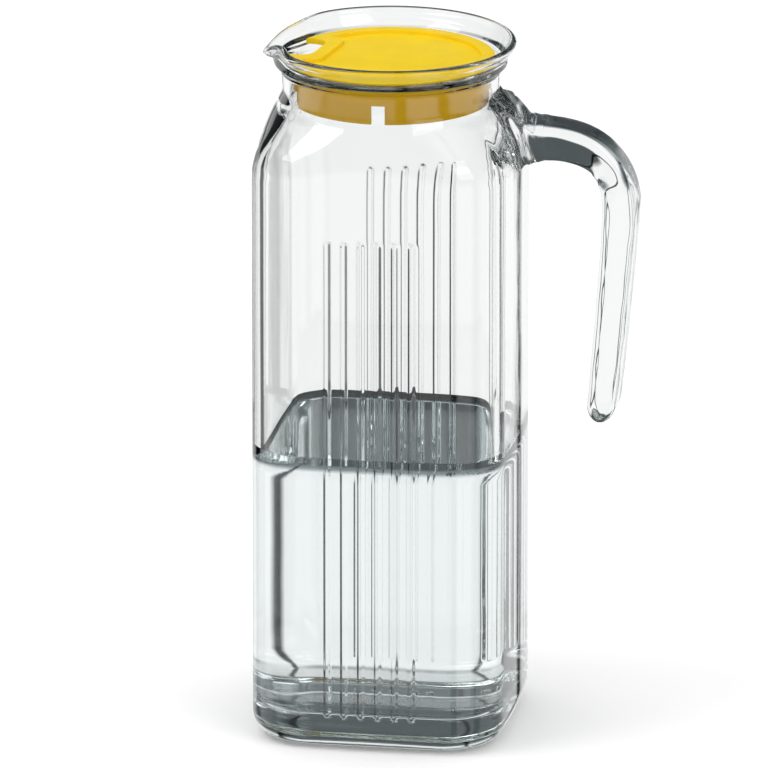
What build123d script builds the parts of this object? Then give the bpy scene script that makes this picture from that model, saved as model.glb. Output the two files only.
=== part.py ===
from build123d import *
import os
from math import sin, cos, tan, acos, radians, degrees, sqrt, exp, pi, atan2

os.makedirs("parts", exist_ok=True)

# ---------------------------------------------------------------- driving dimensions, mm
HEIGHT = 254.0          # rim above the table
FACE_HALF = 46.9        # axis to the middle of a face
CORNER_R = 20.5         # upright corner radius
FACE_BULGE_R = 340.0    # each face is very slightly crowned
HEEL_R = 9.4            # rounded bottom edge
WALL = 4.0              # side wall
FLOOR_Z = 12.0          # inside floor, over a thick base
INNER_HEEL_R = 5.0      # inside bottom edge
SHOULDER_Z = 206.0      # top of the upright faces
NECK_R = 39.0           # narrowest outside radius
NECK_Z = 235.5
COLLAR_Z = 245.0        # step under the flared collar
RIM_R = 45.0
LIP_R = 1.3             # fire-polished edge radius
SPOUT_DROP = 5.6        # the lip's tip below the rim
SPOUT_REACH = 1.4       # the tip beyond the rim's radius
SPOUT_PINCH = 3.4       # how far the rim is pushed in beside the tip

RIB_COUNT = 6
RIB_PITCH = 6.1
RIB_WIDTH = 3.1
RIB_HEIGHT = 0.7
RIB_TOP_Z = 191.5
RIB_BOTTOM_Z = 12.5

STRAP_WIDTH = 20.4      # handle, along Y
STRAP_EDGE_R = 2.8
HANDLE_RULED = False

LID_R = 37.4            # disc
LID_TOP_Z = 248.1
LID_THICK = 2.1
LID_TURN = 9.0          # degrees, notch past the lip
LID_SKIRT_BOTTOM_Z = 231.1
LID_SKIRT_STEP_Z = 239.0
LID_SKIRT_UPPER_R = 35.5
LID_SKIRT_LOWER_R = 34.6
LID_SKIRT_WALL = 1.7
LID_NOTCH_HALF_ANGLE = 17.0
LID_NOTCH_DEPTH = 10.5
LID_GATE_HALF_ANGLE = 40.0     # skirt cut away under the notch
LID_SLOT_WIDTH = 4.8
LID_SLOT_TOP_Z = 239.0
LID_SLOT_ANGLE = 101.0          # from the notch, one each side
LID_RING_WIDTH = 5.0
LID_RECESS = 1.3

STATIONS = 72           # points around a section


# ---------------------------------------------------------------- plan of the body
def square_radius(t, a, rc, big):
    """Polar radius, in the direction t, of a square of half width a with crowned faces and round corners."""
    if big <= rc + 1e-6:
        return a
    A, B, C = 2.0, 2 * (big - a), (big - a) ** 2 - (big - rc) ** 2
    c = (-B + sqrt(B * B - 4 * A * C)) / (2 * A)
    t = abs((t + pi / 4) % (pi / 2) - pi / 4)
    dx, dy = sin(t), cos(t)
    cy = a - big
    q = dy * cy
    rho = q + sqrt(q * q - cy * cy + big * big)
    beta = atan2(c, c - cy)
    if rho * dx > big * sin(beta):
        q = c * (dx + dy)
        rho = q + sqrt(q * q - 2 * c * c + rc * rc)
    return rho


def spout(theta_deg):
    """What the pinch and the pull do to the rim, by angle from the lip: radius and height."""
    t = abs(theta_deg)
    pinch = exp(-(((t - 25.0) / 15.0) ** 2))
    pull = exp(-((t / 10.0) ** 2))
    drop = exp(-((t / 13.0) ** 2))
    return -SPOUT_PINCH * pinch + (SPOUT_REACH + 0.25) * pull, -SPOUT_DROP * drop


def section(z, a, roundness=0.0, inset=0.0, inner=False, weight=0.0):
    """One closed section curve. roundness 0 is the squared body, 1 a circle."""
    rc, big = (CORNER_R - WALL, FACE_BULGE_R - WALL) if inner else (CORNER_R, FACE_BULGE_R)
    k = a / (FACE_HALF - WALL if inner else FACE_HALF)
    points = []
    for i in range(STATIONS):
        t = 2 * pi * i / STATIONS
        sq = square_radius(t, a, rc * k, big * k)
        rho = (1 - roundness) * sq + roundness * a - inset
        away = degrees(abs(((t - pi) + pi) % (2 * pi) - pi))
        dr, dz = spout(away)
        rho += weight * dr
        points.append(Vector(rho * cos(t), rho * sin(t), z + weight * dz))
    return Wire([Edge.make_spline(points, periodic=True)])


def smooth(x, lo, hi):
    x = min(1.0, max(0.0, (x - lo) / (hi - lo)))
    return x * x * (3 - 2 * x)


def spout_weight(z):
    return smooth(z, 243.5, 252.6)


# outside, upward: height, half width, roundness
SHOULDER = [
    (SHOULDER_Z, 46.9, 0.0),
    (211.0, 46.85, 0.01),
    (215.0, 46.5, 0.07),
    (219.0, 45.7, 0.21),
    (223.0, 44.4, 0.46),
    (227.0, 42.7, 0.72),
    (231.0, 40.7, 0.92),
    (NECK_Z, NECK_R, 1.0),
]
COLLAR_OUT = [
    (239.0, 39.2, 1.0),
    (242.5, 39.55, 1.0),
    (243.9, 39.9, 1.0),
    (244.9, 41.3, 1.0),
    (245.6, 41.95, 1.0),
    (248.2, 42.15, 1.0),
    (250.5, 43.6, 1.0),
    (HEIGHT - LIP_R, RIM_R, 1.0),
]
COLLAR_IN = [
    (HEIGHT - LIP_R, RIM_R - 2 * LIP_R, 1.0),
    (250.5, 41.6, 1.0),
    (248.2, 40.3, 1.0),
    (246.0, 38.65, 1.0),
    (244.0, 37.15, 1.0),
    (242.4, 36.1, 1.0),
    (239.0, 35.95, 1.0),
    (NECK_Z, 35.95, 1.0),
]


def between(table, z):
    """Half width and roundness at a height, smooth through the table's rows."""
    rows = sorted(table)
    z = min(max(z, rows[0][0]), rows[-1][0])
    i = max(j for j in range(len(rows) - 1) if rows[j][0] <= z + 1e-9)
    (z0, a0, s0), (z1, a1, s1) = rows[i], rows[i + 1]

    def slope(j, k):
        if j == 0 or j == len(rows) - 1:
            return 0.0
        before = (rows[j][k] - rows[j - 1][k]) / (rows[j][0] - rows[j - 1][0])
        after = (rows[j + 1][k] - rows[j][k]) / (rows[j + 1][0] - rows[j][0])
        return 0.0 if before * after <= 0 else 2 * before * after / (before + after)

    h = z1 - z0
    t = (z - z0) / h
    out = []
    for k, p0, p1 in ((1, a0, a1), (2, s0, s1)):
        m0, m1 = slope(i, k) * h, slope(i + 1, k) * h
        out.append(
            (2 * t**3 - 3 * t**2 + 1) * p0 + (t**3 - 2 * t**2 + t) * m0 + (-2 * t**3 + 3 * t**2) * p1 + (t**3 - t**2) * m1
        )
    return out


def heights(lo, hi, count):
    return [lo + (hi - lo) * i / count for i in range(1, count)]


def heel(radius, floor, half, inner):
    """Sections of the rounded bottom edge, from the floor up to the upright wall."""
    out = []
    for phi in (0, 15, 30, 45, 60, 75, 90):
        p = radians(phi)
        out.append(section(floor + radius * (1 - cos(p)), half, inset=radius * (1 - sin(p)), inner=inner))
    return out


def outside():
    """Sections of the outer skin from the base up to the collar's edge."""
    out = heel(HEEL_R, 0.0, FACE_HALF, False)
    table = SHOULDER + COLLAR_OUT
    out += [section(z, FACE_HALF) for z in heights(HEEL_R, SHOULDER_Z, 12)]
    levels = [SHOULDER_Z] + heights(SHOULDER_Z, NECK_Z, 14) + [NECK_Z, 237.2, 239.0, 241.0, 243.0, 243.9, 244.4, 244.9, 245.6, 248.2, 249.3, 250.5, 251.6]
    for z in levels:
        a, s = between(table, z)
        out.append(section(z, a, s, weight=spout_weight(z)))
    out.append(section(HEIGHT - LIP_R, RIM_R, 1.0, weight=1.0))
    return out


def lip():
    mid = RIM_R - LIP_R
    out = []
    for phi in (30, 60, 90, 120, 150):
        p = radians(phi)
        out.append(section(HEIGHT - LIP_R + LIP_R * sin(p), mid + LIP_R * cos(p), 1.0, weight=1.0))
    return out


def inside():
    """Sections of the inner skin from the collar's edge down to the floor."""
    table = [(z, a - WALL, s) for z, a, s in SHOULDER[:-1]] + COLLAR_IN[::-1]
    out = [section(HEIGHT - LIP_R, RIM_R - 2 * LIP_R, 1.0, weight=1.0)]
    levels = [251.6, 250.5, 249.3, 248.2, 247.1, 246.0, 245.0, 244.0, 243.2, 242.4, 240.5, 239.0, 237.2, NECK_Z]
    levels += heights(SHOULDER_Z, NECK_Z, 14)[::-1] + [SHOULDER_Z]
    for z in levels:
        a, s = between(table, z)
        out.append(section(z, a, s, inner=True, weight=spout_weight(z)))
    out += [section(z, FACE_HALF - WALL, inner=True) for z in heights(FLOOR_Z + INNER_HEEL_R, SHOULDER_Z, 12)[::-1]]
    return out + heel(INNER_HEEL_R, FLOOR_Z, FACE_HALF - WALL, True)[::-1]


# ---------------------------------------------------------------- glass body
def rib(x, side):
    """A low half-round rib with round ends, standing on a face."""
    radius = ((RIB_WIDTH / 2) ** 2 + RIB_HEIGHT**2) / (2 * RIB_HEIGHT)
    face = FACE_BULGE_R * cos(x / FACE_BULGE_R) - (FACE_BULGE_R - FACE_HALF)
    depth = face + RIB_HEIGHT - radius
    low, high = RIB_BOTTOM_Z + radius, RIB_TOP_Z - radius
    bar = Pos(x, side * depth, (low + high) / 2) * Cylinder(radius, high - low)
    bar += Pos(x, side * depth, low) * Sphere(radius)
    bar += Pos(x, side * depth, high) * Sphere(radius)
    keep = Pos(x, side * (face - 1.2 + 5), (low + high) / 2) * Box(2 * radius + 2, 10, high - low + 2 * radius + 2)
    return bar & keep


def glass_body():
    body = Part(Solid.make_loft(outside() + lip() + inside(), True).wrapped)
    for side in (-1, 1):
        for i in range(RIB_COUNT):
            body += rib((i - (RIB_COUNT - 1) / 2) * RIB_PITCH, side)
    return body


def envelope():
    """The body's outer form, filled, up to the step under the collar: what the handle is fused against."""
    sections = [w for w in outside()]
    keep = len(heel(HEEL_R, 0.0, FACE_HALF, False)) + 11 + 19
    return Part(Solid.make_loft(sections[:keep], True).wrapped)


# ---------------------------------------------------------------- handle
# pairs of points across the strap, outer then inner, as x and z, with the strap's width there
HANDLE_STATIONS = [
    ((38.0, 236.6), (38.0, 207.6), 23.4),
    ((43.8, 233.0), (44.2, 207.8), 22.8),
    ((47.2, 229.0), (48.0, 208.6), 21.8),
    ((50.6, 227.1), (51.4, 210.4), 21.0),
    ((56.0, 226.4), (56.4, 211.6), 20.6),
    ((63.2, 225.7), (62.5, 211.7), 20.4),
    ((71.6, 223.4), (68.2, 210.4), 20.4),
    ((78.6, 219.4), (72.2, 208.2), 20.4),
    ((84.4, 213.0), (75.2, 205.0), 20.4),
    ((87.9, 205.8), (77.0, 201.0), 20.4),
    ((89.4, 198.0), (77.7, 195.6), 20.4),
    ((89.3, 189.5), (77.5, 188.4), 20.4),
    ((88.5, 180.0), (77.0, 179.2), 20.4),
    ((87.0, 163.4), (75.9, 162.8), 20.4),
    ((85.4, 146.0), (74.5, 145.4), 20.4),
    ((83.7, 130.0), (73.2, 129.4), 20.3),
    ((82.9, 123.0), (72.8, 122.5), 20.2),
    ((82.0, 120.0), (73.3, 119.6), 19.7),
    ((80.7, 118.0), (74.4, 117.7), 18.6),
    ((79.2, 116.9), (75.8, 116.7), 16.6),
]


def strap_corners(width, depth, z):
    """Corners of the strap's section (along the width, along the depth, radius): near the bend its sides lean in."""
    hot = smooth(z, 197, 212)
    lean = 6.2 * hot * min(1.0, depth / 13.0)
    hw, hd = width / 2, depth / 2
    r = min(STRAP_EDGE_R, 0.42 * depth)
    ri = min(STRAP_EDGE_R + 1.0 * hot, 0.42 * depth)
    return [(hw, hd, r), (-hw, hd, r), (-hw + lean, -hd, ri), (hw - lean, -hd, ri)]


def corner_arc(corners, i):
    """Start, centre, radius and end of the arc that rounds corner i."""
    (px, py, _), (x, y, r), (nx, ny, _) = corners[i - 1], corners[i], corners[(i + 1) % 4]
    ax, ay = px - x, py - y
    bx, by = nx - x, ny - y
    la, lb = sqrt(ax * ax + ay * ay), sqrt(bx * bx + by * by)
    ax, ay, bx, by = ax / la, ay / la, bx / lb, by / lb
    half = acos(max(-1.0, min(1.0, ax * bx + ay * by))) / 2
    t = r / tan(half)
    mx, my = ax + bx, ay + by
    lm = sqrt(mx * mx + my * my)
    mx, my = mx / lm, my / lm
    centre = (x + mx * r / sin(half), y + my * r / sin(half))
    return (x + ax * t, y + ay * t), centre, (mx, my), (x + bx * t, y + by * t)


def strap_section(xo, zo, xi, zi, width):
    """The strap across its run, as a closed wire of four lines and four arcs."""
    across = Vector(xo - xi, 0, zo - zi)
    v = across.normalized()
    mid = Vector((xo + xi) / 2, 0, (zo + zi) / 2)
    corners = strap_corners(width, across.length, (zo + zi) / 2)

    def at(p):
        return mid + Vector(0, 1, 0) * p[0] + v * p[1]

    edges = []
    for i in range(4):
        start, centre, toward, end = corner_arc(corners, i)
        r = corners[i][2]
        edges.append(ThreePointArc(at(start), at((centre[0] - toward[0] * r, centre[1] - toward[1] * r)), at(end)).edge())
        edges.append(Line(at(end), at(corner_arc(corners, (i + 1) % 4)[0])).edge())
    return Wire(edges)


def glass_handle():
    wires = [strap_section(xo, zo, xi, zi, width) for (xo, zo), (xi, zi), width in HANDLE_STATIONS]
    return Part(Solid.make_loft(wires, HANDLE_RULED).wrapped)


# ---------------------------------------------------------------- lid
def disc_outline(inset, depth_more=0.0):
    """The disc with its pouring notch at -X, drawn in smaller by inset."""
    r = LID_R - inset
    half = LID_R * sin(radians(LID_NOTCH_HALF_ANGLE)) + inset
    notch_x = -(LID_R - LID_NOTCH_DEPTH) + inset + depth_more
    disc = Circle(r)
    cut = Pos(notch_x - 20, 0) * RectangleRounded(40, 2 * half, min(5.0, half - 0.5))
    return disc - cut


def lid():
    under = LID_TOP_Z - LID_THICK
    disc = Pos(0, 0, under) * extrude(disc_outline(0), LID_THICK)
    seat = Pos(0, 0, 243.6) * extrude(Circle(LID_SKIRT_UPPER_R), under - 243.6)
    cone = Pos(0, 0, 243.8) * loft([Pos(0, 0, 0) * Circle(LID_SKIRT_UPPER_R), Pos(0, 0, under - 243.8) * Circle(36.9)])
    upper = Pos(0, 0, LID_SKIRT_STEP_Z) * extrude(Circle(LID_SKIRT_UPPER_R), under - LID_SKIRT_STEP_Z)
    lower = Pos(0, 0, LID_SKIRT_BOTTOM_Z) * extrude(Circle(LID_SKIRT_LOWER_R), LID_SKIRT_STEP_Z - LID_SKIRT_BOTTOM_Z)
    bore = Pos(0, 0, LID_SKIRT_BOTTOM_Z - 1) * extrude(Circle(LID_SKIRT_LOWER_R - LID_SKIRT_WALL), under - LID_SKIRT_BOTTOM_Z + 1)
    skirt = seat + cone + upper + lower - bore
    gate = LID_GATE_HALF_ANGLE
    reach = 60.0
    wedge = make_face(
        Polyline(
            (0, 0),
            (-reach * cos(radians(gate)), -reach * sin(radians(gate))),
            (-reach * 1.5, -reach * 0.5),
            (-reach * 1.5, reach * 0.5),
            (-reach * cos(radians(gate)), reach * sin(radians(gate))),
            (0, 0),
        )
    )
    skirt -= Pos(0, 0, LID_SKIRT_BOTTOM_Z - 1) * extrude(wedge, under - LID_SKIRT_BOTTOM_Z + 1)
    for side in (-1, 1):
        slot = Pos(LID_R, 0, (LID_SLOT_TOP_Z + LID_SKIRT_BOTTOM_Z - 2) / 2) * Box(
            20, LID_SLOT_WIDTH, LID_SLOT_TOP_Z - LID_SKIRT_BOTTOM_Z + 2
        )
        skirt -= Rot(0, 0, 180 + side * LID_SLOT_ANGLE) * slot
    recess = Pos(0, 0, LID_TOP_Z - LID_RECESS) * extrude(disc_outline(LID_RING_WIDTH), LID_RECESS + 1)
    whole = disc + skirt - recess
    rim_edges = [e for e in whole.edges().filter_by(GeomType.CIRCLE) if abs(e.center().Z - LID_TOP_Z) < 0.01 and e.radius > LID_R - 0.01]
    try:
        whole = whole.fillet(0.8, rim_edges)
    except Exception:
        pass
    return Part((Rot(0, 0, -LID_TURN) * whole).wrapped)


body = glass_body()
form = envelope()
handle = glass_handle() - form
handle = Part(max(handle.solids(), key=lambda s: s.volume).wrapped)
cap = lid()

for name, piece in (("glass_jug_body", body), ("glass_handle", handle), ("lid", cap)):
    solids = piece.solids()
    box = piece.bounding_box()
    print(name, "solids", len(solids), "volume_cm3", round(sum(s.volume for s in solids) / 1000, 2), "valid", piece.is_valid, "box", box.min, box.max)
    export_step(piece, f"parts/{name}.step")
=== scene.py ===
from math import sin, cos, tan, acos, radians, degrees, sqrt, exp, pi, atan2, hypot

import bpy
from mathutils import Matrix, Vector


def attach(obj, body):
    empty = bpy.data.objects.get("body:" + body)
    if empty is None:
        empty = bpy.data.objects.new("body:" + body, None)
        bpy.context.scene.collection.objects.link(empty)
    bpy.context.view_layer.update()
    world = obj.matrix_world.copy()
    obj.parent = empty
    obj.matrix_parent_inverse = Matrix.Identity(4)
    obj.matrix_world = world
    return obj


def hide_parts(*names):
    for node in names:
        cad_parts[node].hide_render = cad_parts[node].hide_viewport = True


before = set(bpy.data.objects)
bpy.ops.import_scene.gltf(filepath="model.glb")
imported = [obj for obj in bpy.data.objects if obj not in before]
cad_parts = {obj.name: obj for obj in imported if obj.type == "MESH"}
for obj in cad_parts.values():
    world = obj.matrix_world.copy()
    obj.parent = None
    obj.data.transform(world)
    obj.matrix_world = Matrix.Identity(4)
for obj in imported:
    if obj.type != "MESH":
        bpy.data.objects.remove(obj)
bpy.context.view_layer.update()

MM = 0.001

# ---------------------------------------------------------------- the jug's own dimensions, mm, as in the CAD source
HEIGHT = 254.0
FACE_HALF = 46.9
CORNER_R = 20.5
FACE_BULGE_R = 340.0
HEEL_R = 9.4
WALL = 4.0
FLOOR_Z = 12.0
INNER_HEEL_R = 5.0
SHOULDER_Z = 206.0
NECK_R = 39.0
NECK_Z = 235.5
RIM_R = 45.0
LIP_R = 1.3
SPOUT_DROP = 5.6
SPOUT_REACH = 1.4
SPOUT_PINCH = 3.4

RIB_COUNT = 6
RIB_PITCH = 6.1
RIB_WIDTH = 3.1
RIB_HEIGHT = 0.7
RIB_SLOPE = tan(radians(30.5))
RIB_TOP_Z = 191.5
RIB_BOTTOM_Z = 12.5

WATER_Z = 108.3

SHOULDER = [
    (SHOULDER_Z, 46.9, 0.0), (211.0, 46.85, 0.01), (215.0, 46.5, 0.07), (219.0, 45.7, 0.21),
    (223.0, 44.4, 0.46), (227.0, 42.7, 0.72), (231.0, 40.7, 0.92), (NECK_Z, NECK_R, 1.0),
]
COLLAR_OUT = [
    (239.0, 39.2, 1.0), (242.5, 39.55, 1.0), (243.9, 39.9, 1.0), (244.9, 41.3, 1.0),
    (245.6, 41.95, 1.0), (248.2, 42.15, 1.0), (250.5, 43.6, 1.0), (HEIGHT - LIP_R, RIM_R, 1.0),
]
COLLAR_IN = [
    (HEIGHT - LIP_R, RIM_R - 2 * LIP_R, 1.0), (250.5, 41.6, 1.0), (248.2, 40.3, 1.0), (246.0, 38.65, 1.0),
    (244.0, 37.15, 1.0), (242.4, 36.1, 1.0), (239.0, 35.95, 1.0), (NECK_Z, 35.95, 1.0),
]


def square_radius(t, a, rc, big):
    if big <= rc + 1e-6:
        return a
    A, B, C = 2.0, 2 * (big - a), (big - a) ** 2 - (big - rc) ** 2
    c = (-B + sqrt(B * B - 4 * A * C)) / (2 * A)
    t = abs((t + pi / 4) % (pi / 2) - pi / 4)
    dx, dy = sin(t), cos(t)
    cy = a - big
    q = dy * cy
    rho = q + sqrt(q * q - cy * cy + big * big)
    if rho * dx > big * sin(atan2(c, c - cy)):
        q = c * (dx + dy)
        rho = q + sqrt(q * q - 2 * c * c + rc * rc)
    return rho


def spout(theta_deg):
    t = abs(theta_deg)
    pinch = exp(-(((t - 25.0) / 15.0) ** 2))
    pull = exp(-((t / 10.0) ** 2))
    drop = exp(-((t / 13.0) ** 2))
    return -SPOUT_PINCH * pinch + (SPOUT_REACH + 0.25) * pull, -SPOUT_DROP * drop


def smooth(x, lo, hi):
    x = min(1.0, max(0.0, (x - lo) / (hi - lo)))
    return x * x * (3 - 2 * x)


def spout_weight(z):
    return smooth(z, 243.5, 252.6)


def between(table, z):
    rows = sorted(table)
    z = min(max(z, rows[0][0]), rows[-1][0])
    i = max(j for j in range(len(rows) - 1) if rows[j][0] <= z + 1e-9)
    (z0, a0, s0), (z1, a1, s1) = rows[i], rows[i + 1]

    def slope(j, k):
        if j == 0 or j == len(rows) - 1:
            return 0.0
        before = (rows[j][k] - rows[j - 1][k]) / (rows[j][0] - rows[j - 1][0])
        after = (rows[j + 1][k] - rows[j][k]) / (rows[j + 1][0] - rows[j][0])
        return 0.0 if before * after <= 0 else 2 * before * after / (before + after)

    h = z1 - z0
    t = (z - z0) / h
    out = []
    for k, p0, p1 in ((1, a0, a1), (2, s0, s1)):
        m0, m1 = slope(i, k) * h, slope(i + 1, k) * h
        out.append((2*t**3 - 3*t**2 + 1) * p0 + (t**3 - 2*t**2 + t) * m0 + (-2*t**3 + 3*t**2) * p1 + (t**3 - t**2) * m1)
    return out


# ---------------------------------------------------------------- plan directions: every rib gets its own columns
def plan_angles():
    """Angles of the columns round the jug, the same ones at every height."""
    offsets = [-2.0, -1.75, -1.6, -1.52, -1.42, -1.1, -0.75, -0.48, -0.36, -0.24, 0.0, 0.24, 0.36, 0.48, 0.75, 1.1, 1.42, 1.52, 1.6, 1.75, 2.0]
    xs = []
    for i in range(RIB_COUNT):
        mid = (i - (RIB_COUNT - 1) / 2) * RIB_PITCH
        xs += [mid + o for o in offsets]
    edge = max(xs)
    angles = [atan2(FACE_HALF, x) for x in xs]
    side = []
    for deg in [d * 2.0 for d in range(-90, 90)]:
        a = radians(deg)
        x = FACE_HALF / tan(a) if abs(sin(a)) > 0.5 else 999
        if abs(x) > edge + 0.6:
            side.append(a)
    whole = angles + [-a for a in angles] + side
    return sorted(whole)


ANGLES = plan_angles()


def rib_rise(x, z):
    """How far a face's outside stands out at x and z: low ribs with flat flanks, a soft crest and round ends."""
    near = round(x / RIB_PITCH + (RIB_COUNT - 1) / 2)
    if not 0 <= near < RIB_COUNT:
        return 0.0
    dx = x - (near - (RIB_COUNT - 1) / 2) * RIB_PITCH
    half = RIB_WIDTH / 2
    low, high = RIB_BOTTOM_Z + half, RIB_TOP_Z - half
    dz = max(0.0, low - z, z - high)
    d = sqrt(dx * dx + dz * dz)
    flank = (half - d) * RIB_SLOPE

    def soft(v, e):
        return 0.5 * (v + sqrt(v * v + e * e))

    return RIB_HEIGHT - soft(RIB_HEIGHT - soft(flank, 0.05), 0.05) if d < half + 0.5 else 0.0


def ring(z, a, roundness=0.0, inset=0.0, inner=False, weight=0.0, ribs=False, shrink=1.0, lift=0.0):
    rc, big = (CORNER_R - WALL, FACE_BULGE_R - WALL) if inner else (CORNER_R, FACE_BULGE_R)
    k = a / (FACE_HALF - WALL if inner else FACE_HALF)
    points = []
    for t in ANGLES:
        rho = (1 - roundness) * square_radius(t, a, rc * k, big * k) + roundness * a - inset
        away = degrees(abs(t % (2 * pi) - pi))
        dr, dz = spout(away)
        rho += weight * dr
        rho *= shrink
        x, y = rho * cos(t), rho * sin(t)
        if ribs and abs(sin(t)) > 0.7:
            y += rib_rise(x, z) * (1 if y > 0 else -1)
        points.append((x * MM, y * MM, (z + weight * dz + lift) * MM))
    return points


def spread(lo, hi, count):
    return [lo + (hi - lo) * i / count for i in range(count + 1)]


def mesh_of(name, rings, ends=(True, True), wrap=False):
    """Quads between rings of the same length; each end closed by a small cap, or wrapped into a torus."""
    n = len(rings[0])
    verts = [p for r in rings for p in r]
    faces = []
    rows = len(rings)
    for j in range(rows if wrap else rows - 1):
        a, b = j * n, ((j + 1) % rows) * n
        for i in range(n):
            k = (i + 1) % n
            faces.append((a + i, a + k, b + k, b + i))
    if not wrap:
        for at, wanted in ((0, ends[0]), ((rows - 1) * n, ends[1])):
            if wanted:
                mid = [sum(verts[at + i][c] for i in range(n)) / n for c in range(3)]
                verts.append(tuple(mid))
                m = len(verts) - 1
                for i in range(n):
                    k = (i + 1) % n
                    faces.append((at + k, at + i, m) if at == 0 else (at + i, at + k, m))
    mesh = bpy.data.meshes.new(name)
    mesh.from_pydata(verts, [], faces)
    mesh.validate()
    mesh.update()
    for p in mesh.polygons:
        p.use_smooth = True
    ob = bpy.data.objects.new(name, mesh)
    bpy.context.scene.collection.objects.link(ob)
    return ob


# ---------------------------------------------------------------- glass body
def body_rings():
    rings = []
    for s in (0.03, 0.2, 0.4, 0.6, 0.8, 0.93):          # the foot, flat on the table
        rings.append(ring(0.0, FACE_HALF, inset=HEEL_R, shrink=s))
    for phi in range(0, 91, 9):
        p = radians(phi)
        rings.append(ring(HEEL_R * (1 - cos(p)), FACE_HALF, inset=HEEL_R * (1 - sin(p))))
    upright = [10.4, 11.2, 11.9, 12.4, 12.9, 13.4, 14.0, 14.7, 15.6, 17.5] + spread(24, 184, 24) + [187, 188.6, 189.6, 190.2, 190.8, 191.3, 191.8, 192.4, 193.2, 195, 198.5, 202.5]
    for z in upright:
        rings.append(ring(z, FACE_HALF, ribs=True))
    table = SHOULDER + COLLAR_OUT
    levels = spread(SHOULDER_Z, NECK_Z, 24) + [236.4, 237.3, 238.2, 239, 240, 241, 242, 243, 243.5, 243.9, 244.2, 244.5, 244.8, 245.1, 245.4, 245.8, 246.3, 247, 248, 249, 250, 251, 251.9]
    for z in levels:
        a, s = between(table, z)
        rings.append(ring(z, a, s, weight=spout_weight(z)))
    mid = RIM_R - LIP_R
    for phi in range(0, 181, 15):
        p = radians(phi)
        rings.append(ring(HEIGHT - LIP_R + LIP_R * sin(p), mid + LIP_R * cos(p), 1.0, weight=1.0))
    table = [(z, a - WALL, s) for z, a, s in SHOULDER[:-1]] + COLLAR_IN[::-1]
    for z in [251.9, 251, 250, 249, 248, 247.2, 246.4, 245.6, 244.8, 244, 243.2, 242.4, 241.6, 240.8, 240, 239, 238, 237] + spread(SHOULDER_Z, NECK_Z, 24)[::-1]:
        a, s = between(table, z)
        rings.append(ring(z, a, s, inner=True, weight=spout_weight(z)))
    for z in spread(FLOOR_Z + INNER_HEEL_R, SHOULDER_Z, 22)[1:-1][::-1]:
        rings.append(ring(z, FACE_HALF - WALL, inner=True))
    for phi in range(90, -1, -9):
        p = radians(phi)
        rings.append(ring(FLOOR_Z + INNER_HEEL_R * (1 - cos(p)), FACE_HALF - WALL, inset=INNER_HEEL_R * (1 - sin(p)), inner=True))
    for s in (0.93, 0.8, 0.6, 0.4, 0.2, 0.03):
        rings.append(ring(FLOOR_Z, FACE_HALF - WALL, inset=INNER_HEEL_R, inner=True, shrink=s))
    return rings


body = mesh_of("glass_jug_body_looks", body_rings())

# ---------------------------------------------------------------- handle
HANDLE_STATIONS = [
    ((37.0, 236.2), (37.0, 207.4), 23.6),
    ((43.8, 233.0), (44.2, 207.8), 22.8), ((47.2, 229.0), (48.0, 208.6), 21.8),
    ((50.6, 227.1), (51.4, 210.4), 21.0), ((56.0, 226.4), (56.4, 211.6), 20.6), ((63.2, 225.7), (62.5, 211.7), 20.4),
    ((71.6, 223.4), (68.2, 210.4), 20.4), ((78.6, 219.4), (72.2, 208.2), 20.4), ((84.4, 213.0), (75.2, 205.0), 20.4),
    ((87.9, 205.8), (77.0, 201.0), 20.4), ((89.4, 198.0), (77.7, 195.6), 20.4), ((89.3, 189.5), (77.5, 188.4), 20.4),
    ((88.5, 180.0), (77.0, 179.2), 20.4), ((87.0, 163.4), (75.9, 162.8), 20.4), ((85.4, 146.0), (74.5, 145.4), 20.4),
    ((83.7, 130.0), (73.2, 129.4), 20.3), ((82.9, 123.0), (72.8, 122.5), 20.2), ((82.0, 120.0), (73.3, 119.6), 19.7),
    ((80.7, 118.0), (74.4, 117.7), 18.6), ((79.2, 116.9), (75.8, 116.7), 16.6),
]


STRAP_EDGE_R = 2.8


def strap_corners(width, depth, z):
    """Corners of the strap's section (along the width, along the depth, radius): near the bend its sides lean in."""
    hot = smooth(z, 197, 212)
    lean = 6.2 * hot * min(1.0, depth / 13.0)
    hw, hd = width / 2, depth / 2
    r = min(STRAP_EDGE_R, 0.42 * depth)
    ri = min(STRAP_EDGE_R + 1.0 * hot, 0.42 * depth)
    return [(hw, hd, r), (-hw, hd, r), (-hw + lean, -hd, ri), (hw - lean, -hd, ri)]


def corner_arc(corners, i):
    """Start, centre, radius and end of the arc that rounds corner i."""
    (px, py, _), (x, y, r), (nx, ny, _) = corners[i - 1], corners[i], corners[(i + 1) % 4]
    ax, ay = px - x, py - y
    bx, by = nx - x, ny - y
    la, lb = sqrt(ax * ax + ay * ay), sqrt(bx * bx + by * by)
    ax, ay, bx, by = ax / la, ay / la, bx / lb, by / lb
    half = acos(max(-1.0, min(1.0, ax * bx + ay * by))) / 2
    t = r / tan(half)
    mx, my = ax + bx, ay + by
    lm = sqrt(mx * mx + my * my)
    mx, my = mx / lm, my / lm
    centre = (x + mx * r / sin(half), y + my * r / sin(half))
    return (x + ax * t, y + ay * t), centre, (mx, my), (x + bx * t, y + by * t)


def catmull(rows, steps):
    """The stations, with smooth ones put in between."""
    flat = [(xo, zo, xi, zi, w) for (xo, zo), (xi, zi), w in rows]
    out = []
    for i in range(len(flat) - 1):
        p0, p1, p2, p3 = flat[max(0, i - 1)], flat[i], flat[i + 1], flat[min(len(flat) - 1, i + 2)]
        n = steps if i > 0 else steps
        for s in range(n):
            t = s / n
            out.append([0.5 * (2*b + (c - a)*t + (2*a - 5*b + 4*c - d)*t*t + (3*b - a - 3*c + d)*t**3) for a, b, c, d in zip(p0, p1, p2, p3)])
    out.append(list(flat[-1]))
    return out


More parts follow.
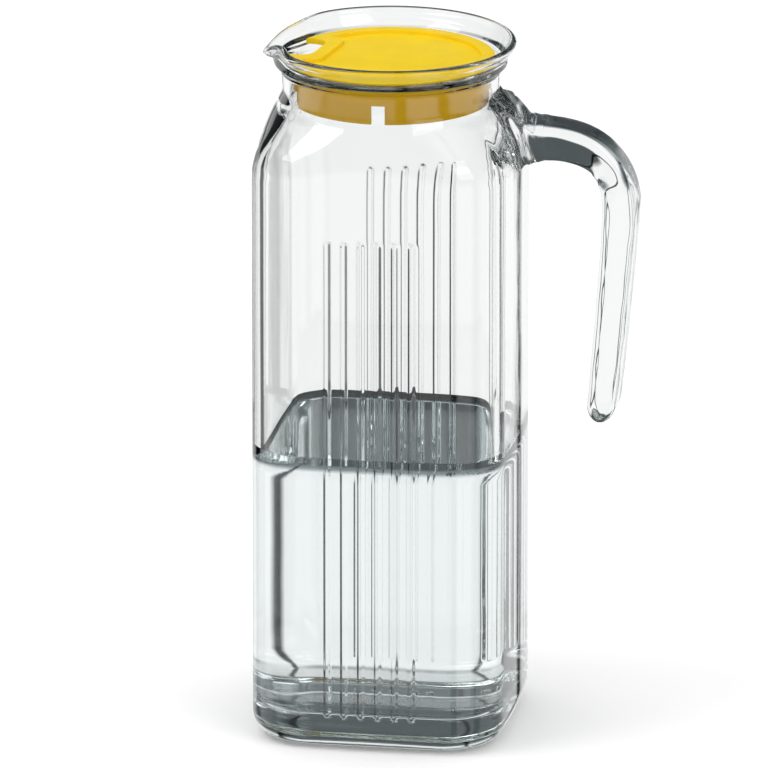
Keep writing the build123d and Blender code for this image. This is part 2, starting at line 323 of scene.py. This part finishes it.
def rounded(corners, per=8):
    """Points round the strap's section, with extra points along its sides."""
    pts = []
    for i in range(4):
        start, centre, toward, end = corner_arc(corners, i)
        r = corners[i][2]
        a0 = atan2(start[1] - centre[1], start[0] - centre[0])
        a1 = atan2(end[1] - centre[1], end[0] - centre[0])
        while a1 < a0:
            a1 += 2 * pi
        pts += [(centre[0] + r * cos(a0 + (a1 - a0) * k / per), centre[1] + r * sin(a0 + (a1 - a0) * k / per)) for k in range(per + 1)]
        after = corner_arc(corners, (i + 1) % 4)[0]
        pts += [(end[0] * (1 - f) + after[0] * f, end[1] * (1 - f) + after[1] * f) for f in (0.2, 0.5, 0.8)]
    return pts


def outer_radius(t, z):
    """The jug's outside, in the direction t at height z."""
    if z <= SHOULDER_Z:
        a, r = FACE_HALF, 0.0
    else:
        a, r = between(SHOULDER + COLLAR_OUT, z)
    k = a / FACE_HALF
    return (1 - r) * square_radius(t, a, CORNER_R * k, FACE_BULGE_R * k) + r * a


def ripple(x, y, z):
    """Folds of glass near the root, where the strap was pressed on hot, dying out along it."""
    near = smooth(60.0 - x, 0.0, 12.0)
    fold = sin(x * 1.55 + 0.9 * sin(y * 0.42 + 1.0) + 0.35 * z) + 0.6 * sin(x * 0.9 - 0.5 * y + 0.6 * z + 2.0)
    far = 0.10 * sin(x * 0.55 + z * 0.33) * sin(y * 0.5 + z * 0.11 + 0.7)
    return 0.42 * near * fold + far


def handle_rings():
    rings = []
    rows = catmull(HANDLE_STATIONS, 5)
    for xo, zo, xi, zi, w in rows:
        across = Vector((xo - xi, 0, zo - zi))
        depth = across.length
        v = across.normalized()
        mid = Vector(((xo + xi) / 2, 0, (zo + zi) / 2))
        points = []
        for pu, pv in rounded(strap_corners(w, depth, mid.z)):
            p = mid + Vector((0, 1, 0)) * pu + v * pv
            out = Vector((0, pu / w, 0)) + v * (pv / depth)
            p += out.normalized() * ripple(p.x, p.y, p.z)
            t = atan2(p.y, p.x)
            inside = outer_radius(t, p.z) - 1.1
            if hypot(p.x, p.y) < inside:
                p.x = sqrt(max(0.0, inside * inside - p.y * p.y))
            points.append(tuple(p * MM))
        rings.append(points)
    xo, zo, xi, zi, w = rows[-1]                          # the tip, rounded off
    across = Vector((xo - xi, 0, zo - zi))
    depth = across.length
    v = across.normalized()
    mid = Vector(((xo + xi) / 2, 0, (zo + zi) / 2))
    for s in (0.72, 0.4, 0.12):
        rings.append([tuple((mid + Vector((0, 1, 0)) * pu * s + v * pv * s) * MM) for pu, pv in rounded(strap_corners(w, depth, mid.z))])
    return rings


handle = mesh_of("glass_handle_looks", handle_rings())

# ---------------------------------------------------------------- water: the contents shown in the photograph
OVER = 0.12


def water_rings():
    rings = []
    half = FACE_HALF - WALL + OVER
    for s in (0.03, 0.3, 0.6, 0.85):
        rings.append(ring(FLOOR_Z - OVER, half, inset=INNER_HEEL_R, inner=True, shrink=s))
    for phi in range(0, 91, 9):
        p = radians(phi)
        rings.append(ring(FLOOR_Z - OVER + INNER_HEEL_R * (1 - cos(p)), half, inset=INNER_HEEL_R * (1 - sin(p)), inner=True))
    for z in spread(FLOOR_Z + INNER_HEEL_R, WATER_Z + 0.95, 10)[1:]:
        rings.append(ring(z, half, inner=True))
    for inset, rise in ((0.12, 0.86), (0.28, 0.6), (0.5, 0.38), (0.85, 0.2), (1.3, 0.08), (2.0, 0.02), (4.0, 0.0)):
        rings.append(ring(WATER_Z + rise, half, inset=inset, inner=True))
    for s in (0.8, 0.6, 0.4, 0.2, 0.03):
        rings.append(ring(WATER_Z, half, inset=4.0, inner=True, shrink=s))
    return rings


water = mesh_of("water_contents", water_rings())


# ---------------------------------------------------------------- materials
def nodes_of(name):
    m = bpy.data.materials.new(name)
    m.use_nodes = True
    nt = m.node_tree
    nt.nodes.clear()
    out = nt.nodes.new("ShaderNodeOutputMaterial")
    return m, nt, out


def glass_material(name, color, ior, wobble_scale, wobble, tint, density, roughness=0.0):
    """Clear glass with the faint unevenness of moulded or hand-worked glass."""
    m, nt, out = nodes_of(name)
    g = nt.nodes.new("ShaderNodeBsdfPrincipled")
    g.inputs["Base Color"].default_value = (*color, 1)
    g.inputs["Roughness"].default_value = roughness
    g.inputs["IOR"].default_value = ior
    g.inputs["Transmission Weight"].default_value = 1.0
    where = nt.nodes.new("ShaderNodeTexCoord")
    scale = nt.nodes.new("ShaderNodeMapping")
    scale.inputs["Scale"].default_value = (1.0, 1.0, 0.35)
    noise = nt.nodes.new("ShaderNodeTexNoise")
    noise.inputs["Scale"].default_value = wobble_scale
    noise.inputs["Detail"].default_value = 2.0
    bump = nt.nodes.new("ShaderNodeBump")
    bump.inputs["Strength"].default_value = wobble
    bump.inputs["Distance"].default_value = 0.001
    nt.links.new(where.outputs["Object"], scale.inputs["Vector"])
    nt.links.new(scale.outputs["Vector"], noise.inputs["Vector"])
    nt.links.new(noise.outputs["Fac"], bump.inputs["Height"])
    nt.links.new(bump.outputs["Normal"], g.inputs["Normal"])
    nt.links.new(g.outputs["BSDF"], out.inputs["Surface"])
    deep = nt.nodes.new("ShaderNodeVolumeAbsorption")
    deep.inputs["Color"].default_value = (*tint, 1)
    deep.inputs["Density"].default_value = density
    nt.links.new(deep.outputs["Volume"], out.inputs["Volume"])
    return m


def plastic_material(name):
    """Moulded yellow plastic: warm, softly glossy, slightly mottled, with a fine grain; the skirt below the disc
    carries painted shade in a deeper gold.
    """
    m, nt, out = nodes_of(name)
    p = nt.nodes.new("ShaderNodeBsdfPrincipled")
    p.inputs["IOR"].default_value = 1.5
    p.inputs["Specular IOR Level"].default_value = 0.24
    p.inputs["Subsurface Weight"].default_value = 0.15
    p.inputs["Subsurface Radius"].default_value = (0.004, 0.002, 0.0005)
    p.inputs["Subsurface Scale"].default_value = 0.6
    where = nt.nodes.new("ShaderNodeTexCoord")
    mottle = nt.nodes.new("ShaderNodeTexNoise")
    mottle.inputs["Scale"].default_value = 90.0
    mottle.inputs["Detail"].default_value = 3.0
    ramp = nt.nodes.new("ShaderNodeValToRGB")
    ramp.color_ramp.elements[0].position = 0.3
    ramp.color_ramp.elements[0].color = (0.78, 0.54, 0.003, 1)
    ramp.color_ramp.elements[1].position = 0.7
    ramp.color_ramp.elements[1].color = (0.84, 0.59, 0.005, 1)
    grain = nt.nodes.new("ShaderNodeTexNoise")
    grain.inputs["Scale"].default_value = 1400.0
    grain.inputs["Detail"].default_value = 2.0
    rough = nt.nodes.new("ShaderNodeMapRange")
    rough.inputs["To Min"].default_value = 0.30
    rough.inputs["To Max"].default_value = 0.42
    bump = nt.nodes.new("ShaderNodeBump")
    bump.inputs["Strength"].default_value = 0.12
    bump.inputs["Distance"].default_value = 0.0002
    nt.links.new(where.outputs["Object"], mottle.inputs["Vector"])
    nt.links.new(where.outputs["Object"], grain.inputs["Vector"])
    nt.links.new(mottle.outputs["Fac"], ramp.inputs["Fac"])
    deep = nt.nodes.new("ShaderNodeSeparateXYZ")          # painted shade: the skirt below the disc is coloured a darker, deeper gold, standing in for the shade on its side
    fall = nt.nodes.new("ShaderNodeMapRange")
    fall.inputs["From Min"].default_value = 0.2448
    fall.inputs["From Max"].default_value = 0.2462
    skirt_painted_shade = nt.nodes.new("ShaderNodeMix")
    skirt_painted_shade.data_type = "RGBA"
    # painted shade colour of the skirt, darker than the lit disc
    skirt_painted_shade.inputs["A"].default_value = (0.84, 0.485, 0.003, 1)
    nt.links.new(where.outputs["Object"], deep.inputs["Vector"])
    nt.links.new(deep.outputs["Z"], fall.inputs["Value"])
    nt.links.new(fall.outputs["Result"], skirt_painted_shade.inputs["Factor"])
    nt.links.new(ramp.outputs["Color"], skirt_painted_shade.inputs["B"])
    nt.links.new(skirt_painted_shade.outputs["Result"], p.inputs["Base Color"])
    nt.links.new(mottle.outputs["Fac"], rough.inputs["Value"])
    nt.links.new(rough.outputs["Result"], p.inputs["Roughness"])
    nt.links.new(grain.outputs["Fac"], bump.inputs["Height"])
    nt.links.new(bump.outputs["Normal"], p.inputs["Normal"])
    nt.links.new(p.outputs["BSDF"], out.inputs["Surface"])
    return m


glass = glass_material("clear_glass", (0.975, 0.985, 0.98), 1.5, 45.0, 0.05, (0.58, 0.76, 0.76), 2.6)
hot_glass = glass_material("hot_worked_glass", (0.975, 0.985, 0.98), 1.5, 70.0, 0.12, (0.58, 0.76, 0.76), 2.6)
wet = glass_material("water", (0.985, 0.99, 0.99), 1.333, 30.0, 0.02, (0.6, 0.85, 0.9), 1.0)
yellow = plastic_material("yellow_plastic")


def dress(ob, mat):
    ob.data.materials.clear()
    ob.data.materials.append(mat)


dress(body, glass)
dress(handle, hot_glass)
dress(water, wet)
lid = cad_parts["lid"]
dress(lid, yellow)
weld = lid.modifiers.new("weld", "WELD")                  # moulded edges are never knife-sharp
weld.merge_threshold = 0.00001
soft_edge = lid.modifiers.new("soft_edges", "BEVEL")
soft_edge.limit_method = "ANGLE"
soft_edge.angle_limit = radians(38)
soft_edge.width = 0.00035
soft_edge.segments = 3
soft_edge.harden_normals = False

for ob, node, slot in ((body, "glass_jug_body", "jug_glass"), (handle, "glass_handle", "handle_glass")):
    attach(ob, "jug")
    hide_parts(node)
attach(water, "jug")

# ---------------------------------------------------------------- floor
floor_mesh = bpy.data.meshes.new("floor")
floor_mesh.from_pydata([(-60, -60, -0.0004), (60, -60, -0.0004), (60, 60, -0.0004), (-60, 60, -0.0004)], [], [(0, 1, 2, 3)])
floor = bpy.data.objects.new("floor", floor_mesh)
bpy.context.scene.collection.objects.link(floor)
fm, nt, out = nodes_of("pale_floor")
d = nt.nodes.new("ShaderNodeBsdfDiffuse")
d.inputs["Color"].default_value = (0.965, 0.965, 0.965, 1)
nt.links.new(d.outputs["BSDF"], out.inputs["Surface"])
floor.data.materials.append(fm)
floor.visible_transmission = False
floor.visible_glossy = False

# ---------------------------------------------------------------- light: bright around, darker below, softly banded sideways
world = bpy.data.worlds.new("studio")
bpy.context.scene.world = world
world.use_nodes = True
wn = world.node_tree
wn.nodes.clear()
wout = wn.nodes.new("ShaderNodeOutputWorld")
back = wn.nodes.new("ShaderNodeBackground")
seen = wn.nodes.new("ShaderNodeBackground")
mixer = wn.nodes.new("ShaderNodeMixShader")
path = wn.nodes.new("ShaderNodeLightPath")
coord = wn.nodes.new("ShaderNodeTexCoord")
split = wn.nodes.new("ShaderNodeSeparateXYZ")
wn.links.new(coord.outputs["Generated"], split.inputs["Vector"])


def math(op, a, b=None, c=None):
    n = wn.nodes.new("ShaderNodeMath")
    n.operation = op
    for i, v in enumerate((a, b, c)):
        if v is None:
            continue
        if isinstance(v, (int, float)):
            n.inputs[i].default_value = v
        else:
            wn.links.new(v, n.inputs[i])
    return n.outputs[0]


def ramp_of(value, stops):
    n = wn.nodes.new("ShaderNodeValToRGB")
    n.color_ramp.interpolation = "LINEAR"
    els = n.color_ramp.elements
    def cool(v):
        return v * (1 - 0.20 * (1 - v)), v * (1 - 0.05 * (1 - v)), v, 1

    els[0].position, els[0].color = stops[0][0], cool(stops[0][1])
    els[1].position, els[1].color = stops[-1][0], cool(stops[-1][1])
    for pos, v in stops[1:-1]:
        e = els.new(pos)
        e.color = cool(v)
    wn.links.new(value, n.inputs["Fac"])
    return n.outputs["Color"]


rise = math("ARCSINE", split.outputs["Z"])
rise = math("MULTIPLY_ADD", rise, 1 / pi, 0.5)            # 0 straight down, 0.5 level, 1 straight up


def el(deg):
    return 0.5 + deg / 180.0


by_height = ramp_of(rise, [(0.0, 0.06), (el(-48), 0.07), (el(-38), 0.35), (el(-31), 1.0), (el(3.4), 1.0), (el(7), 0.11), (el(45), 0.09), (el(60), 0.5), (el(72), 1.0), (1.0, 1.0)])
turn = math("ARCTAN2", split.outputs["Y"], split.outputs["X"])
turn = math("MULTIPLY_ADD", turn, 1 / (2 * pi), 0.5)      # 0.75 is +Y


def az(deg):
    """Direction by its plan angle from +X, degrees."""
    return ((deg + 180.0) % 360.0) / 360.0


DARK = 0.02
SOFT = 0.7
by_side = ramp_of(turn, sorted([
    (0.0, 1.0), (az(-166), 1.0), (az(-158), 0.4), (az(-150), SOFT), (az(-78), SOFT),
    (az(-73), DARK), (az(-66), DARK), (az(-61), 1.0), (az(-30), 1.0), (az(-25), DARK), (az(-17), DARK), (az(-11), 0.95),
    (az(78.9), 1.0), (az(79.6), DARK), (az(82.3), DARK), (az(83.0), 1.0), (az(115.2), 1.0), (az(115.9), 0.08), (az(118.6), 0.08), (az(119.4), 1.0),
    (az(140), 1.0), (az(145), DARK), (az(159), DARK), (az(165), 1.0), (1.0, 1.0),
]))
both = wn.nodes.new("ShaderNodeMix")
both.data_type = "RGBA"
both.blend_type = "MULTIPLY"
both.inputs["Factor"].default_value = 1.0
wn.links.new(by_height, both.inputs["A"])
wn.links.new(by_side, both.inputs["B"])
wn.links.new(both.outputs["Result"], back.inputs["Color"])
back.inputs["Strength"].default_value = 1.0
seen.inputs["Color"].default_value = (1, 1, 1, 1)
seen.inputs["Strength"].default_value = 1.03
matt = math("GREATER_THAN", path.outputs["Diffuse Depth"], 0.5)       # light that falls on matt surfaces is even
wn.links.new(math("MAXIMUM", path.outputs["Is Camera Ray"], matt), mixer.inputs["Fac"])
wn.links.new(back.outputs["Background"], mixer.inputs[1])
wn.links.new(seen.outputs["Background"], mixer.inputs[2])
wn.links.new(mixer.outputs["Shader"], wout.inputs["Surface"])


def lamp(name, at, size, power, aim=(0, 0, 0.12)):
    light = bpy.data.lights.new(name, "AREA")
    light.shape = "RECTANGLE"
    light.size, light.size_y = size
    light.energy = power
    ob = bpy.data.objects.new(name, light)
    ob.location = at
    ob.rotation_mode = "QUATERNION"
    ob.rotation_quaternion = (Vector(aim) - Vector(at)).to_track_quat("-Z", "Y")
    bpy.context.scene.collection.objects.link(ob)
    return ob


key = lamp("key", (-0.9, -0.5, 1.5), (0.8, 0.8), 7)
fill = lamp("fill", (1.1, -0.9, 1.2), (0.9, 0.9), 5)
for ob in (key, fill):
    ob.visible_camera = False

# ---------------------------------------------------------------- camera
a0, e0 = radians(9.6), radians(16.85)
backward = Vector((sin(a0) * cos(e0), -cos(a0) * cos(e0), sin(e0)))
right = Vector((cos(a0), sin(a0), 0))
up = backward.cross(right)
target = Vector((0, 0, 0.1248)) + right * (-0.00245)
cam_data = bpy.data.cameras.new("camera")
cam_data.sensor_width = 36.0
cam_data.lens = 5520 / 0.36 / 768 * 36
cam_data.clip_start, cam_data.clip_end = 0.1, 100.0
cam = bpy.data.objects.new("camera", cam_data)
cam.matrix_world = Matrix((
    (right.x, up.x, backward.x, 0), (right.y, up.y, backward.y, 0), (right.z, up.z, backward.z, 0), (0, 0, 0, 1)))
cam.location = target + backward * 5.52
bpy.context.scene.collection.objects.link(cam)
bpy.context.scene.camera = cam
bpy.context.scene.view_settings.view_transform = "Standard"
bpy.context.scene.cycles.max_bounces = 32
bpy.context.scene.cycles.transmission_bounces = 32
bpy.context.scene.cycles.glossy_bounces = 16
bpy.context.scene.cycles.transparent_max_bounces = 16
bpy.context.scene.cycles.caustics_refractive = True
bpy.context.scene.cycles.caustics_reflective = True
